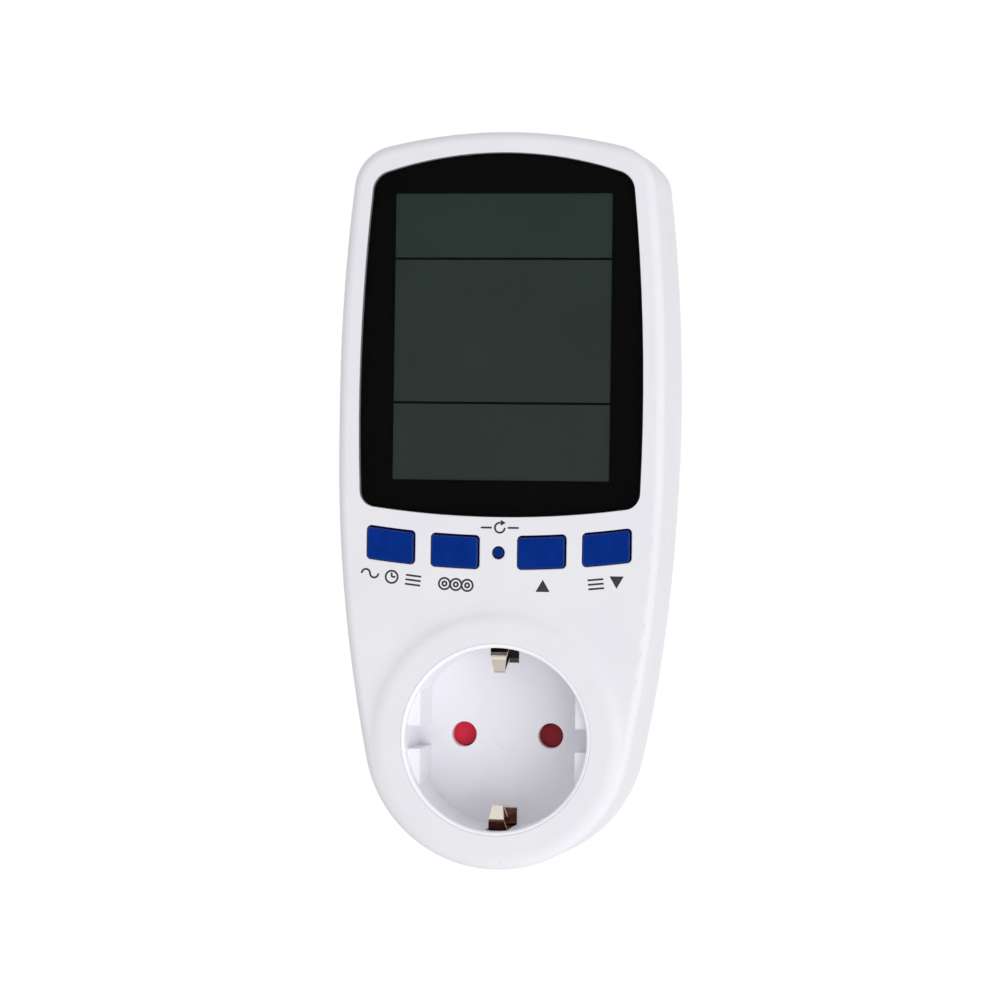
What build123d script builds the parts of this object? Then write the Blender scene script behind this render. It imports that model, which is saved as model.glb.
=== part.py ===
from build123d import *
import os
from math import asin, cos, degrees, radians, sin, tan

# Plug-in energy monitor, in millimetres. X is to the right, Z is up, and the front faces -Y.
# The origin is midway between the plug's pins, on the plug's end face.
# A level is a distance from that end face towards the front, so a point at a level has y = -level.

os.makedirs("parts", exist_ok=True)

# Standard plug and socket
pin_pitch = 19.0
pin_radius = 2.4
pin_length = 19.0
pin_end_radius = 1.6
recess_depth = 17.5
recess_radius = 19.5
pin_hole_radius = 2.7
plug_depth = 17.5
plug_radius = 18.3

# Housing, as seen from the front
half_width = 35.0
body_top = 129.2
crown_radius = 105.7
shoulder_radius = 400.0
flank_start = 62.0
flank_end = 72.0
end_radius = 28.6
end_rise = 1.0
corner_radius = 9.5
back_tuck = 1.0
back_flank_rise = 9.5
back_corner_drop = 3.0

# Housing, as seen from the side
back_depth = 12.0
front_depth = 25.2
draft_width = 0.75
edge_radius = 2.0
back_edge_radius = 2.0
wall = 2.2
face_wall = 2.5
lip_height = 1.6
lip_wall = 1.1
seam_bevel = 0.3

# Gaps between pieces
overrun = 1.0
clearance = 0.1
fit_clearance = 0.05
loose_clearance = 0.3

# Raised collar round the socket
collar_rise = 0.8
collar_radius = 24.4
cove_bend_radius = 6.0
collar_slope = 20.0
cove_slope = 4.0

# Display window and display
window_top_border = 4.5
window_side_border = 4.55
window_bottom = 47.28
window_waist = 71.0
window_crown_radius = 80.0
window_side_radius = 450.0
window_foot_radius = 195.0
window_top_corner = 4.5
window_bottom_corner = 3.5
window_thickness = 1.5
window_sink = 0.05
window_edge = 0.25
lcd_side_border = 5.95
lcd_end_border = 6.46
lcd_drop = 0.39
lcd_thickness = 2.8
holder_wall = 1.5
holder_ledge_width = 4.0
holder_ledge_height = 10.0
zebra_end_gap = 3.0
zebra_thickness = 2.0
zebra_inset = 3.2

# Keys and their switches
key_height = 7.25
key_side_border = 6.5
key_spacing = 3.3
key_sag = 0.16
key_shift = 0.14
key_corner = 1.0
key_gap = 0.28
key_edge = 0.45
key_sink = 0.1
key_flange = 1.0
key_flange_thickness = 1.0
key_row_radius = 204.0
key_row_drop = 7.58
key_travel = 0.6
key_opening_edge = 0.25
reset_hole_radius = 1.4
reset_pin_radius = 1.1
reset_sink = 0.5
reset_flange_radius = 2.6
reset_gap = 0.4
switch_size = 6.0
switch_height = 3.0
switch_floor = 0.6
plunger_radius = 1.7
plunger_height = 2.5

# Circuit boards
board_thickness = 1.6
board_gap = 0.7
display_board_bottom = 33.5
display_chip_radius = 8.0
display_chip_height = 1.5
crystal_radius = 1.0
crystal_length = 6.0
main_board_bottom = 25.0
main_board_rise = 4.3
board_top_inset = 9.4

# Parts on the main board
battery_radius = 7.8
battery_length = 18.0
battery_edge = 0.8
dropper_width = 18.0
dropper_thickness = 8.5
dropper_height = 15.0
smoothing_radius = 5.0
smoothing_height = 14.0
smoothing_edge = 0.7
varistor_radius = 5.0
varistor_thickness = 4.2
varistor_edge = 1.5
diode_radius = 1.35
diode_length = 5.2
diode_pitch = 4.5
chip_width = 10.3
chip_height = 7.5
chip_thickness = 2.3
ribbon_width = 12.7
ribbon_thickness = 0.9
ribbon_shift = 6.0
ribbon_z = 44.0
ribbon_bend = 3.0

# Screws: shank and head sizes, and the bosses that they go in
case_screw_radius = 1.5
case_head_radius = 2.5
case_head_height = 1.8
case_screw_length = 20.0
case_boss_radius = 2.8
case_back_boss_radius = 4.0
case_counterbore = 4.5
small_screw_radius = 1.0
small_head_radius = 1.8
small_head_height = 1.4
small_screw_length = 5.0
small_boss_radius = 2.2
plug_screw_length = 3.4
pilot_depth = 1.2
slot_width = 0.8
slot_depth = 0.7
case_low_inset = 9.8
case_low_z = 14.0
case_high_inset = 21.0
case_high_drop = 6.2
display_screw_inset = 6.3
display_screw_drop = 24.2
board_screw_inset = 8.0
board_screw_low_z = 40.0
board_screw_drop = 21.2

# Socket cup
floor_thickness = 2.5
cup_lip_radius = 20.35
cup_lip_sink = 0.1
cup_lip_edge = 0.6
cup_wall = 1.9
cup_flange_radius = 23.5
cup_flange_thickness = 2.0
block_face = 16.7
block_height = 14.3
block_gap = 5.0
clip_slot_width = 4.7
clip_slot_inner = 15.7
clip_slot_outer = 21.7
clip_slot_drop = 2.9
center_disc_radius = 3.1
center_disc_depth = 0.15
pin_hole_edge = 0.3

# Safety shutter
shutter_thickness = 2.2
shutter_gap = 0.3
shutter_radius = 13.3
shutter_hub_radius = 4.4
shutter_half_angle = 18.5
shutter_ramp = 0.7
shutter_post_radius = 2.0
spring_inner_radius = 2.3
spring_outer_radius = 3.1
spring_height = 0.8
spring_leg_width = 0.5
spring_leg_length = 8.6
spring_peg_radius = 0.6
spring_peg_circle_radius = 7.5
shutter_peg_angle = 8.0
spring_leg_angle = 15.5
carrier_peg_angle = 255.0
anchor_leg_angle = 247.5

# Contact carrier and contacts
carrier_radius = 16.5
carrier_thickness = 1.7
carrier_space = 1.2
well_half_width = 3.6
well_half_height = 3.3
well_wall = 1.0
well_depth = 8.1
carrier_boss_radius = 2.4
carrier_screw_angle = 55.0
carrier_screw_circle_radius = 14.0
contact_thickness = 0.6
contact_width = 6.0
contact_half_gap = 2.1
contact_flare = 0.8
contact_flare_height = 2.4
contact_bend = 0.8
contact_below_pin = 0.8

# Earth strap with its two clips
earth_thickness = 0.7
earth_width = 4.1
earth_arm_z = 20.5
clip_nose_z = 13.9
clip_nose_depth = 5.4
clip_top_z = 17.3
clip_top_depth = 3.6
clip_tip_z = 16.8
clip_tip_depth = 9.2
clip_shoulder_depth = 6.8
clip_nose_width = 2.1
clip_neck_drop = 8.0
clip_bend = 0.8
earth_bend = 1.2
earth_rivet_radius = 1.8

# Plug body and what it holds
plug_flat = 16.3
plug_rib_face = 18.0
plug_rib_width = 4.2
plug_collar = 2.5
plug_end_wall = 4.0
plug_wall = 2.0
plug_groove_width = 6.0
plug_groove_depth = 1.6
plug_edge = 0.8
plug_flange_radius = 22.5
plug_flange_thickness = 2.0
plug_screw_circle_radius = 20.5
plug_screw_angle = 45.0
plug_strap_thickness = 0.8
plug_strap_width = 5.0
plug_strap_start = 1.4
plug_strap_rise = 0.8
pin_neck_radius = 2.0
pin_relief_depth = 0.3
pin_head_radius = 3.5
pin_head_height = 1.5
pin_rivet_radius = 1.3
pin_rivet_height = 1.5
busbar_thickness = 0.8
busbar_width = 6.0
busbar_bend = 0.9
busbar_riser_x = 13.4
busbar_overhang = 3.0
shunt_width = 3.0
shunt_overlap = 2.5
sleeve_offset = 10.0
sleeve_hole_radius = 2.6
sleeve_wall = 0.6
lead_radius = 0.9
lead_bend = 2.2
lead_x = 11.0
lead_turn_z = 9.5
lead_rise = 10.8
lead_end = 4.0

# Bare label recess on the back
label_width = 40.0
label_height = 52.0
label_depth = 0.4
label_corner = 2.0
label_z = 78.0

# Levels and places that several pieces share
back_level = plug_depth
parting_level = back_level + back_depth
panel_level = parting_level + front_depth
collar_level = panel_level + collar_rise
face_inner_level = panel_level - face_wall
back_inner_level = back_level + wall
floor_level = collar_level - recess_depth
floor_back_level = floor_level - floor_thickness
window_back_level = panel_level - window_sink - window_thickness
lcd_back_level = window_back_level - clearance - lcd_thickness
key_flange_level = face_inner_level - clearance - key_flange_thickness
switch_top_level = key_flange_level - key_travel - loose_clearance - clearance
display_board_level = switch_top_level - switch_height
main_board_level = back_inner_level + main_board_rise
main_board_front = main_board_level + board_thickness
shutter_top_level = floor_back_level - shutter_gap
shutter_level = shutter_top_level - shutter_thickness
carrier_top_level = shutter_level - carrier_space
carrier_level = carrier_top_level - carrier_thickness
contact_top_level = carrier_level - clearance
contact_base_level = floor_level - pin_length - contact_below_pin
busbar_top_level = contact_base_level
plug_flange_top = back_inner_level + plug_flange_thickness
plug_strap_level = plug_flange_top + plug_strap_rise
earth_base_level = carrier_level - earth_thickness
pin_x = pin_pitch / 2
board_top = body_top - board_top_inset
window_top = body_top - window_top_border
window_half_width = half_width - window_side_border
lcd_width = 2 * (window_half_width - lcd_side_border)
lcd_height = window_top - window_bottom - 2 * lcd_end_border
lcd_middle = (window_top + window_bottom) / 2 - lcd_drop
zebra_width = lcd_width - 2 * zebra_end_gap
key_row_z = window_bottom - key_row_drop
key_row_start = reset_flange_radius + reset_gap + key_flange
key_width = (half_width - key_side_border - key_spacing - key_row_start) / 2
key_near_x = key_row_start + key_width / 2
key_far_x = key_near_x + key_width + key_spacing


def level_plane(level, x=0, z=0):
    """A sketch plane at a level, facing the front, with X to the right and Z up."""
    return Plane(origin=(x, -level, z), x_dir=(1, 0, 0), z_dir=(0, -1, 0))


def polar(radius, angle):
    """The X and Z of a point at a radius and an angle round the socket's axis."""
    return radius * cos(radians(angle)), radius * sin(radians(angle))


def housing_inset(level):
    """How far the housing's outer surface lies inside the outline of its panel, at a level."""
    if level >= parting_level:
        return -draft_width * (panel_level - level) / front_depth
    return -draft_width * (level - back_level) / back_depth


def back_share(level):
    """How much of the back's change of outline is reached at a level: none at the parting, all at the back."""
    return (parting_level - level) / back_depth


def body_outline(inset=0, share=0):
    """The housing's outline with every side moved in by an inset, and with a share of the back's change:
    there the lower end is narrower and the top corners are tighter."""
    low_radius = end_radius - share * back_tuck
    low_start = flank_start + share * back_flank_rise
    flank_rise = low_start - end_rise
    squares = half_width**2 + flank_rise**2 - low_radius**2
    flank_radius = squares / (2 * (half_width - low_radius))
    join_angle = degrees(asin(flank_rise / (flank_radius - low_radius)))
    top_angle = degrees(asin((body_top + overrun - flank_end) / shoulder_radius))
    side = half_width - inset
    with BuildSketch() as outline:
        with BuildLine():
            CenterArc((0, end_rise), low_radius - inset, -90, 90 - join_angle)
            flank_center = (half_width - flank_radius, low_start)
            CenterArc(flank_center, flank_radius - inset, -join_angle, join_angle)
            Line((side, low_start), (side, flank_end))
            shoulder_center = (half_width - shoulder_radius, flank_end)
            shoulder = CenterArc(shoulder_center, shoulder_radius - inset, 0, top_angle)
            Line(shoulder @ 1, (0, (shoulder @ 1).Y))
            mirror(about=Plane.YZ)
        make_face()
        with Locations((0, body_top - crown_radius)):
            Circle(crown_radius - inset, mode=Mode.INTERSECT)
        corner = corner_radius - share * back_corner_drop - inset
        fillet(outline.vertices().group_by(Axis.Y)[-1], radius=corner)
    return outline.sketch


def window_outline(inset=0):
    """The display window's outline, with every side moved in by an inset."""
    rise = window_top + overrun - window_waist
    fall = window_waist - window_bottom + overrun
    with BuildSketch() as outline:
        with BuildLine():
            side_center = (window_half_width - window_side_radius, window_waist)
            top_angle = degrees(asin(rise / window_side_radius))
            bottom_angle = degrees(asin(fall / window_side_radius))
            side = CenterArc(
                side_center, window_side_radius - inset, -bottom_angle, bottom_angle + top_angle
            )
            Line(side @ 0, (0, (side @ 0).Y))
            Line(side @ 1, (0, (side @ 1).Y))
            mirror(about=Plane.YZ)
        make_face()
        with Locations((0, window_top - window_crown_radius)):
            Circle(window_crown_radius - inset, mode=Mode.INTERSECT)
        with Locations((0, window_bottom + window_foot_radius)):
            Circle(window_foot_radius - inset, mode=Mode.INTERSECT)
        corners = outline.vertices()
        fillet(corners.group_by(Axis.Y)[-1], radius=window_top_corner - inset)
        corners = outline.vertices().sort_by(Axis.Y)
        fillet(corners.filter_by(lambda v: abs(v.X) > window_half_width / 2)[:2],
               radius=window_bottom_corner - inset)
    return outline.sketch


def key_plane(x, level):
    """A sketch plane on a key's centre. The row of keys follows a wide arc."""
    z = key_row_z + key_row_radius * (1 - cos(asin(x / key_row_radius)))
    return level_plane(level, x, z)


def key_outline(x, grow=0):
    """A key's outline, with every side moved out by grow: upright sides between two arcs of the row."""
    half_height = key_height / 2 + grow
    with BuildSketch() as outline:
        with Locations((0, key_row_radius)):
            Circle(key_row_radius + half_height)
            Circle(key_row_radius - half_height, mode=Mode.SUBTRACT)
        with Locations((x, 0)):
            Rectangle(key_width + 2 * grow, key_row_radius, mode=Mode.INTERSECT)
        fillet(outline.vertices(), radius=key_corner + grow)
    return outline.sketch


def sweep_section(section, points, bend):
    """Sweeps a section, drawn at the first point, along a path of X, Z and level points."""
    with BuildLine() as path:
        FilletPolyline([(x, -level, z) for x, z, level in points], radius=bend)
    sweep(section(path.line), path=path.line)


def strip_section(width, thickness, across):
    """A strip's section. The strip's width lies along the direction across."""
    def section(path):
        with BuildSketch(Plane(origin=path @ 0, x_dir=across, z_dir=path % 0)) as face:
            Rectangle(width, thickness)
        return face.sketch
    return section


def wire_section(radius):
    """A wire's round section."""
    def section(path):
        with BuildSketch(Plane(origin=path @ 0, z_dir=path % 0)) as face:
            Circle(radius)
        return face.sketch
    return section


def mirrored(x, z):
    """A place and its mirror image on the other side."""
    return [(-x, z), (x, z)]


case_places = mirrored(half_width - case_low_inset, case_low_z)
case_places += mirrored(half_width - case_high_inset, body_top - case_high_drop)
display_screw_x = half_width - display_screw_inset
display_screw_places = mirrored(display_screw_x, flank_start)
display_screw_places += mirrored(display_screw_x, body_top - display_screw_drop)
board_screw_x = half_width - board_screw_inset
board_screw_places = mirrored(board_screw_x, board_screw_low_z)
board_screw_places += mirrored(board_screw_x, body_top - board_screw_drop)
carrier_screw_places = [
    polar(carrier_screw_circle_radius, carrier_screw_angle + turn) for turn in (0, 180)
]
plug_screw_places = [polar(plug_screw_circle_radius, plug_screw_angle + turn) for turn in (0, 90, 180, 270)]
pin_places = mirrored(pin_x, 0)
key_places = {"function": -key_far_x, "cost": -key_near_x, "up": key_near_x, "down": key_far_x}
switch_places = {**key_places, "reset": 0}


# Front half of the housing

front_edge_level = panel_level - edge_radius / 2
collar_root_level = (parting_level + panel_level) / 2

with BuildPart() as front_form:
    for level in (parting_level, collar_level):
        with BuildSketch(level_plane(level)):
            add(body_outline(housing_inset(level)))
    loft(ruled=True)

with BuildPart() as collar_form:
    add(front_form.part)
    with BuildSketch(Plane.XY):
        with BuildLine():
            plateau = Line((0, -collar_level), (collar_radius, -collar_level))
            brow = JernArc(plateau @ 1, (1, 0), cove_bend_radius, collar_slope)
            cove = JernArc(brow @ 1, brow % 1, cove_bend_radius, cove_slope - collar_slope)
            foot = PolarLine(cove @ 1, half_width / 2, angle=cove_slope)
            foot_corner = ((foot @ 1).X, -collar_root_level)
            Polyline(foot @ 1, foot_corner, (0, -collar_root_level), plateau @ 0)
        make_face()
    revolve(axis=Axis.Y, mode=Mode.INTERSECT)
    front_edges = collar_form.edges().filter_by(
        lambda edge: edge.bounding_box().max.Y < -front_edge_level and edge.center().Z < end_radius
    )
    side_edges = collar_form.faces().filter_by(
        lambda face: face.bounding_box().max.Y > -collar_root_level - overrun
    ).edges()
    rim = [edge for edge in front_edges if any(edge.is_same(side) for side in side_edges)]
    fillet(rim, radius=edge_radius)

with BuildPart() as front_shell:
    add(front_form.part)
    split(bisect_by=level_plane(panel_level), keep=Keep.BOTTOM)
    fillet(front_shell.faces().sort_by(Axis.Y)[0].edges(), radius=edge_radius)
    chamfer(front_shell.faces().sort_by(Axis.Y)[-1].edges(), length=seam_bevel)
    add(collar_form.part)
    for level in (parting_level, face_inner_level):
        with BuildSketch(level_plane(level)):
            add(body_outline(housing_inset(level) + wall))
    loft(ruled=True, mode=Mode.SUBTRACT)
    with BuildSketch(level_plane(parting_level)):
        add(body_outline(housing_inset(parting_level) + wall - lip_wall - clearance))
    extrude(amount=lip_height + clearance, mode=Mode.SUBTRACT)
    with BuildSketch(level_plane(face_inner_level)):
        with Locations(*case_places):
            Circle(case_boss_radius)
    extrude(amount=parting_level - face_inner_level)
    with BuildSketch(level_plane(face_inner_level)):
        with Locations(*display_screw_places):
            Circle(small_boss_radius)
    extrude(amount=display_board_level - face_inner_level)
    with BuildSketch(level_plane(parting_level)):
        with Locations(*case_places):
            Circle(case_screw_radius + fit_clearance)
    extrude(amount=case_screw_length - case_counterbore + overrun, mode=Mode.SUBTRACT)
    with BuildSketch(level_plane(display_board_level)):
        with Locations(*display_screw_places):
            Circle(small_screw_radius + fit_clearance)
    extrude(amount=small_screw_length - board_thickness + loose_clearance, mode=Mode.SUBTRACT)
    with BuildSketch(level_plane(window_back_level)):
        add(window_outline(-clearance))
    extrude(amount=face_wall, mode=Mode.SUBTRACT)
    with BuildSketch(level_plane(window_back_level, z=lcd_middle)):
        Rectangle(lcd_width + 2 * loose_clearance, lcd_height + 2 * loose_clearance)
    extrude(amount=-face_wall, mode=Mode.SUBTRACT)
    with BuildSketch(level_plane(face_inner_level)):
        Circle(cup_lip_radius + fit_clearance)
    extrude(amount=face_wall + collar_rise, mode=Mode.SUBTRACT)
    with BuildSketch(level_plane(face_inner_level, z=key_row_z)):
        for x in key_places.values():
            add(key_outline(x))
    extrude(amount=face_wall, mode=Mode.SUBTRACT)
    with BuildSketch(key_plane(0, face_inner_level)):
        Circle(reset_hole_radius)
    extrude(amount=face_wall, mode=Mode.SUBTRACT)
    key_edges = front_shell.edges().filter_by(
        lambda edge: abs(edge.center().Y + panel_level) < fit_clearance
        and edge.bounding_box().max.Z < key_row_z + key_height
        and edge.bounding_box().min.Z > key_row_z - key_height
    )
    fillet(key_edges, radius=key_opening_edge)


# Rear half of the housing

with BuildPart() as back_shell:
    for level, bevel in ((back_level, 0), (parting_level - seam_bevel, 0), (parting_level, seam_bevel)):
        with BuildSketch(level_plane(level)):
            add(body_outline(housing_inset(level) + bevel, back_share(level)))
    loft(ruled=True)
    fillet(back_shell.faces().sort_by(Axis.Y)[-1].edges(), radius=back_edge_radius)
    for level in (back_inner_level, parting_level):
        with BuildSketch(level_plane(level)):
            add(body_outline(housing_inset(level) + wall, back_share(level)))
    loft(ruled=True, mode=Mode.SUBTRACT)
    with BuildSketch(level_plane(parting_level - wall)):
        add(body_outline(housing_inset(parting_level) + wall - lip_wall))
        add(body_outline(housing_inset(parting_level) + wall), mode=Mode.SUBTRACT)
    extrude(amount=wall + lip_height)
    with BuildSketch(level_plane(back_inner_level)):
        with Locations(*case_places):
            Circle(case_back_boss_radius)
    extrude(amount=parting_level - back_inner_level)
    with BuildSketch(level_plane(back_inner_level)):
        with Locations(*board_screw_places):
            Circle(small_boss_radius)
    extrude(amount=main_board_rise)
    with BuildSketch(level_plane(back_level)):
        Circle(plug_radius + clearance)
    extrude(amount=wall, mode=Mode.SUBTRACT)
    with BuildSketch(level_plane(back_level)):
        with Locations(*case_places):
            Circle(case_screw_radius + clearance)
    extrude(amount=back_depth, mode=Mode.SUBTRACT)
    with BuildSketch(level_plane(back_level)):
        with Locations(*case_places):
            Circle(case_head_radius + clearance)
    extrude(amount=case_counterbore, mode=Mode.SUBTRACT)
    with BuildSketch(level_plane(main_board_level)):
        with Locations(*board_screw_places):
            Circle(small_screw_radius + fit_clearance)
    extrude(amount=board_thickness - small_screw_length - loose_clearance, mode=Mode.SUBTRACT)
    with BuildSketch(level_plane(back_inner_level)):
        with Locations(*plug_screw_places):
            Circle(small_screw_radius + fit_clearance)
    extrude(amount=plug_flange_thickness - plug_screw_length - clearance, mode=Mode.SUBTRACT)
    with BuildSketch(level_plane(back_level, z=label_z)):
        RectangleRounded(label_width, label_height, label_corner)
    extrude(amount=label_depth, mode=Mode.SUBTRACT)


# Display window, display and its holder

with BuildPart() as display_window:
    with BuildSketch(level_plane(window_back_level)):
        add(window_outline())
    extrude(amount=window_thickness)
    fillet(display_window.faces().sort_by(Axis.Y)[0].edges(), radius=window_edge)

with BuildPart() as lcd_panel:
    with BuildSketch(level_plane(lcd_back_level, z=lcd_middle)):
        Rectangle(lcd_width, lcd_height)
    extrude(amount=lcd_thickness)

zebra_place = lcd_height / 2 - zebra_inset
board_front_level = display_board_level + board_thickness

with BuildPart() as lcd_holder:
    with BuildSketch(level_plane(display_board_level, z=lcd_middle)):
        frame_width = lcd_width + 2 * clearance + 2 * holder_wall
        frame_height = lcd_height + 2 * clearance + 2 * holder_wall
        Rectangle(frame_width, frame_height)
    extrude(amount=face_inner_level - loose_clearance - display_board_level)
    with BuildSketch(level_plane(lcd_back_level, z=lcd_middle)):
        Rectangle(lcd_width + 2 * clearance, lcd_height + 2 * clearance)
    extrude(amount=face_wall + lcd_thickness, mode=Mode.SUBTRACT)
    with BuildSketch(level_plane(display_board_level, z=lcd_middle)):
        Rectangle(lcd_width - 2 * holder_ledge_width, lcd_height - 2 * holder_ledge_height)
        with Locations((0, zebra_place), (0, -zebra_place)):
            Rectangle(zebra_width + 2 * clearance, zebra_thickness + 2 * clearance)
    extrude(amount=lcd_back_level - display_board_level, mode=Mode.SUBTRACT)

with BuildPart() as zebra_strips:
    with BuildSketch(level_plane(display_board_level, z=lcd_middle)):
        with Locations((0, zebra_place), (0, -zebra_place)):
            Rectangle(zebra_width, zebra_thickness)
    extrude(amount=lcd_back_level - display_board_level)


# Keys and the switches under them

def make_key(cap, flange, sink):
    """A key: its cap's outline and the outline of the flange that holds it behind the front, made solid."""
    with BuildPart() as key:
        with BuildSketch(level_plane(key_flange_level, z=key_row_z)):
            add(flange)
        extrude(amount=key_flange_thickness)
        with BuildSketch(level_plane(key_flange_level, z=key_row_z)):
            add(cap)
        extrude(amount=panel_level - sink - key_flange_level)
        fillet(key.faces().sort_by(Axis.Y)[0].edges(), radius=key_edge)
    return key.part


# The four caps hang a little low and left in their openings
for name, x in key_places.items():
    key_cap = key_outline(x, -key_gap).moved(Location((-key_shift, -key_sag, 0)))
    key_part = make_key(key_cap, key_outline(x, key_flange), key_sink)
    key_part.label = name + "_key"
    export_step(key_part, "parts/" + name + "_key.step")

reset_part = make_key(Circle(reset_pin_radius), Circle(reset_flange_radius), reset_sink)
reset_part.label = "reset_key"
export_step(reset_part, "parts/reset_key.step")

for name, x in switch_places.items():
    with BuildPart() as plunger:
        with BuildSketch(key_plane(x, key_flange_level - plunger_height)):
            Circle(plunger_radius)
        extrude(amount=plunger_height)
    plunger.part.label = name + "_plunger"
    export_step(plunger.part, "parts/" + name + "_plunger.step")

with BuildPart() as key_switches:
    for x in switch_places.values():
        with BuildSketch(key_plane(x, display_board_level)):
            Rectangle(switch_size, switch_size)
        extrude(amount=switch_height)
        with BuildSketch(key_plane(x, display_board_level + switch_floor)):
            Circle(plunger_radius + fit_clearance)
        extrude(amount=switch_height, mode=Mode.SUBTRACT)


# Circuit boards and what stands on them

def draw_board(bottom, top, inset):
    """A board that fills the housing between two heights."""
    add(body_outline(inset))
    with Locations((0, (bottom + top) / 2)):
        Rectangle(2 * half_width, top - bottom, mode=Mode.INTERSECT)


with BuildPart() as display_board:
    with BuildSketch(level_plane(display_board_level)):
        draw_board(display_board_bottom, board_top, wall + board_gap)
        with Locations(*display_screw_places):
            Circle(small_screw_radius + clearance, mode=Mode.SUBTRACT)
    extrude(amount=-board_thickness)

display_back_level = display_board_level - board_thickness

with BuildPart() as display_chip:
    with BuildSketch(level_plane(display_back_level, z=flank_end)):
        Circle(display_chip_radius)
    extrude(amount=-display_chip_height)
    fillet(display_chip.faces().sort_by(Axis.Y)[-1].edges(), radius=display_chip_height - clearance)

crystal_x = display_chip_radius + 2 * crystal_length
with BuildPart() as clock_crystal:
    with BuildSketch(Plane(origin=(crystal_x, crystal_radius - display_back_level, flank_end))):
        Circle(crystal_radius)
    extrude(amount=crystal_length)

with BuildPart() as main_board:
    with BuildSketch(level_plane(main_board_level)):
        draw_board(main_board_bottom, board_top, wall + board_gap)
        with Locations(*board_screw_places):
            Circle(small_screw_radius + clearance, mode=Mode.SUBTRACT)
        with Locations(*case_places):
            Circle(case_back_boss_radius + loose_clearance, mode=Mode.SUBTRACT)
    extrude(amount=board_thickness)

battery_z = board_top - battery_radius - 2 * case_head_radius
with BuildPart() as backup_battery:
    battery_axis_level = main_board_front + battery_radius
    with BuildSketch(Plane(origin=(0, -battery_axis_level, battery_z), x_dir=(0, 1, 0), z_dir=(1, 0, 0))):
        Circle(battery_radius)
    extrude(amount=battery_length / 2, both=True)
    fillet(backup_battery.edges(), radius=battery_edge)

dropper_z = flank_start
with BuildPart() as dropper_capacitor:
    with BuildSketch(level_plane(main_board_front, x=dropper_width / 2 + clearance, z=dropper_z)):
        Rectangle(dropper_width, dropper_thickness)
    extrude(amount=dropper_height)
    fillet(dropper_capacitor.edges(), radius=battery_edge)

smoothing_x = dropper_width / 2
smoothing_z = dropper_z + dropper_thickness + smoothing_radius
with BuildPart() as smoothing_capacitor:
    with BuildSketch(level_plane(main_board_front, x=smoothing_x, z=smoothing_z)):
        Circle(smoothing_radius)
    extrude(amount=smoothing_height)
    fillet(smoothing_capacitor.faces().sort_by(Axis.Y)[0].edges(), radius=smoothing_edge)

varistor_level = main_board_front + varistor_radius
with BuildPart() as varistor:
    with BuildSketch(Plane.XY.offset(dropper_z - varistor_thickness / 2)):
        with Locations((-dropper_width / 2, -varistor_level)):
            Circle(varistor_radius)
    extrude(amount=varistor_thickness)
    fillet(varistor.edges(), radius=varistor_edge)

diode_z = dropper_z + dropper_thickness + varistor_radius
with BuildPart() as rectifier_diodes:
    with BuildSketch(Plane.XY.offset(diode_z)):
        with Locations((-dropper_width / 2, -main_board_front - diode_radius)):
            with GridLocations(diode_pitch, 0, 4, 1):
                Circle(diode_radius)
    extrude(amount=diode_length)

with BuildPart() as meter_chip:
    with BuildSketch(level_plane(main_board_front, x=-dropper_width / 2, z=main_board_bottom + chip_width)):
        Rectangle(chip_width, chip_height)
    extrude(amount=chip_thickness)
    chamfer(meter_chip.faces().sort_by(Axis.Y)[0].edges(), length=chip_thickness / 4)

ribbon_start = (0, ribbon_z, main_board_front)
ribbon_middle = (main_board_front + display_back_level) / 2
with BuildPart() as ribbon_cable:
    ribbon_points = [
        ribbon_start,
        (0, ribbon_z, ribbon_middle - ribbon_bend),
        (0, ribbon_z + ribbon_shift, ribbon_middle + ribbon_bend),
        (0, ribbon_z + ribbon_shift, display_back_level),
    ]
    sweep_section(strip_section(ribbon_width, ribbon_thickness, (1, 0, 0)), ribbon_points, ribbon_bend)


# Screws

def add_screws(places, seat, way, length, radius, head_radius, head_height):
    """Screws whose heads rest on the seat level. The way is 1 where they point to the front."""
    head_level = seat - way * head_height
    with BuildSketch(level_plane(seat)) as shanks:
        with Locations(*places):
            Circle(radius)
    extrude(shanks.sketch, amount=way * length)
    with BuildSketch(level_plane(seat)) as heads:
        with Locations(*places):
            Circle(head_radius)
    extrude(heads.sketch, amount=-way * head_height)
    with BuildSketch(level_plane(head_level)) as slots:
        with Locations(*places):
            Rectangle(head_radius, slot_width)
            Rectangle(slot_width, head_radius)
    extrude(slots.sketch, amount=way * slot_depth, mode=Mode.SUBTRACT)


small_screw = (small_screw_radius, small_head_radius, small_head_height)

with BuildPart() as case_screws:
    case_seat = back_level + case_counterbore
    add_screws(
        case_places, case_seat, 1, case_screw_length, case_screw_radius, case_head_radius, case_head_height
    )

with BuildPart() as display_screws:
    add_screws(display_screw_places, display_back_level, 1, small_screw_length, *small_screw)

with BuildPart() as board_screws:
    add_screws(board_screw_places, main_board_front, -1, small_screw_length, *small_screw)

with BuildPart() as carrier_screws:
    add_screws(carrier_screw_places, carrier_level, 1, small_screw_length, *small_screw)

with BuildPart() as plug_screws:
    add_screws(plug_screw_places, plug_flange_top, -1, plug_screw_length, *small_screw)


# Socket cup

cup_radius = recess_radius + cup_wall
cup_rim_level = collar_level - cup_lip_sink
cup_shoulder_level = face_inner_level - clearance
clip_slot_top = cup_rim_level - clip_slot_drop

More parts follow.
